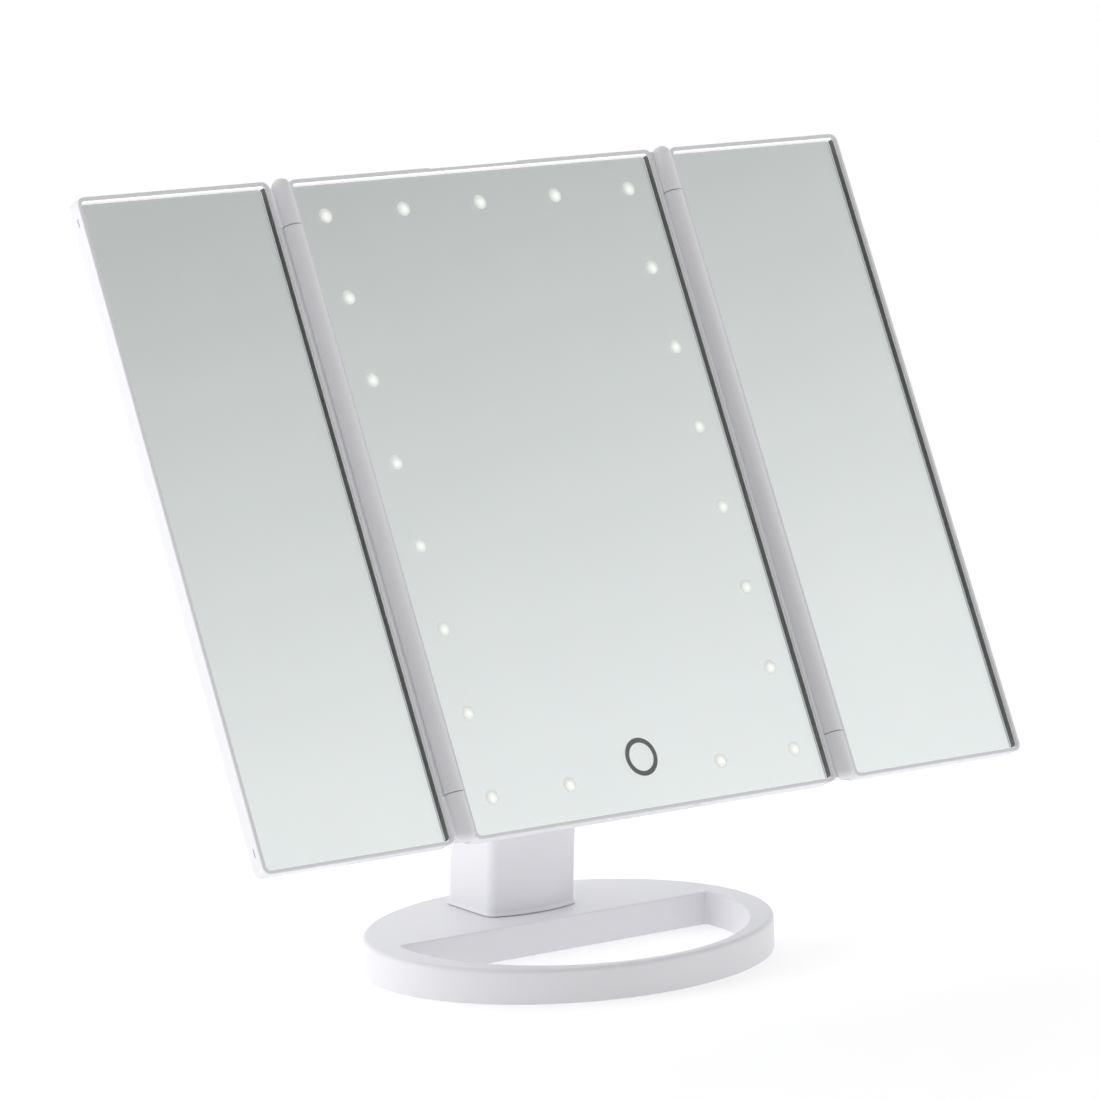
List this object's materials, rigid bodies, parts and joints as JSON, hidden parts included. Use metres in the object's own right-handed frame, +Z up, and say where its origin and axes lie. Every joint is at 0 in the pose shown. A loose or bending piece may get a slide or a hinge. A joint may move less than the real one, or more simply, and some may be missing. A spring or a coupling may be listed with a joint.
{
  "type": "tri-fold lighted vanity mirror",
  "caption": "Tabletop tri-fold vanity mirror with a lighted centre panel and touch switch, two folding wing mirrors and a tilting head on a battery column over an oval tray base.",
  "frame": {"origin": "on the table, at the middle of the rear foot, straight under the tilt axis", "axes": "+Z up, mirrors face -Y and lean back, +X to the right of a person in front of the mirror"},
  "size_m": [0.3444, 0.1332, 0.2795],
  "materials": {
    "shell_white": "satin moulded ABS",
    "mirror_glass": "polished float glass with ground edges",
    "silvering": "reflective coating",
    "switch_ring": "dark printed line",
    "diffuser": "translucent white sheet",
    "led": "white light emitting diodes",
    "white_board": "white solder mask on a circuit board",
    "green_board": "green solder mask on a circuit board",
    "components": "black moulded electronic parts",
    "steel": "plain zinc plated steel",
    "spring_metal": "nickel plated spring steel",
    "ballast_steel": "dull steel plate",
    "foam": "white double sided foam pad",
    "rubber_foot": "soft grey-white rubber",
    "cell_wrap": "plain dark sleeve",
    "lead_black": "soft black insulation"
  },
  "bodies": {
    "stand": {"base_shell": "shell_white", "base_bottom_plate": "shell_white", "base_feet": "rubber_foot", "base_ballast": "ballast_steel", "base_screws": "steel", "column_shell": "shell_white", "column_back_plate": "shell_white", "battery_tray": "shell_white", "aa_cells": "cell_wrap", "battery_springs": "spring_metal", "battery_contacts": "spring_metal", "power_board": "green_board", "usb_socket": "steel", "column_lead": "lead_black", "pivot_shaft": "steel", "disc_springs": "spring_metal", "pivot_nut": "steel", "friction_washers": "steel", "pivot_caps": "shell_white"},
    "battery_door": {"battery_door": "shell_white"},
    "head": {"tilt_bracket": "shell_white", "bracket_screws": "steel", "centre_frame": "shell_white", "centre_glass": "mirror_glass", "centre_silvering": "silvering", "touch_ring": "switch_ring", "centre_diffuser": "diffuser", "led_board": "white_board", "leds": "led", "touch_spring": "spring_metal", "control_board": "green_board", "control_parts": "components", "centre_back_cover": "shell_white", "cover_screws": "steel", "head_lead": "lead_black", "left_hinge_pins": "steel", "right_hinge_pins": "steel"},
    "left_wing": {"left_wing_tray": "shell_white", "left_wing_glass": "mirror_glass", "left_wing_silvering": "silvering", "left_wing_pad": "foam"},
    "right_wing": {"right_wing_tray": "shell_white", "right_wing_glass": "mirror_glass", "right_wing_silvering": "silvering", "right_wing_pad": "foam"}
  },
  "joints": [
    {"name": "head_tilt", "type": "hinge", "parent": "stand", "child": "head", "pos_m": [0, 0, 0.1575], "axis": [-1, 0, 0], "range_deg": [-27, 62]},
    {"name": "left_wing_fold", "type": "hinge", "parent": "head", "child": "left_wing", "pos_m": [-0.0864, -0.02618, 0.17142], "axis": [0, 0.4695, 0.8829], "range_deg": [0, 180]},
    {"name": "right_wing_fold", "type": "hinge", "parent": "head", "child": "right_wing", "pos_m": [0.0864, -0.02618, 0.17142], "axis": [0, -0.4695, -0.8829], "range_deg": [0, 180]},
    {"name": "battery_door_swing", "type": "hinge", "parent": "stand", "child": "battery_door", "pos_m": [0, 0.0123, 0.0256], "axis": [-1, 0, 0], "range_deg": [0, 75]}
  ]
}
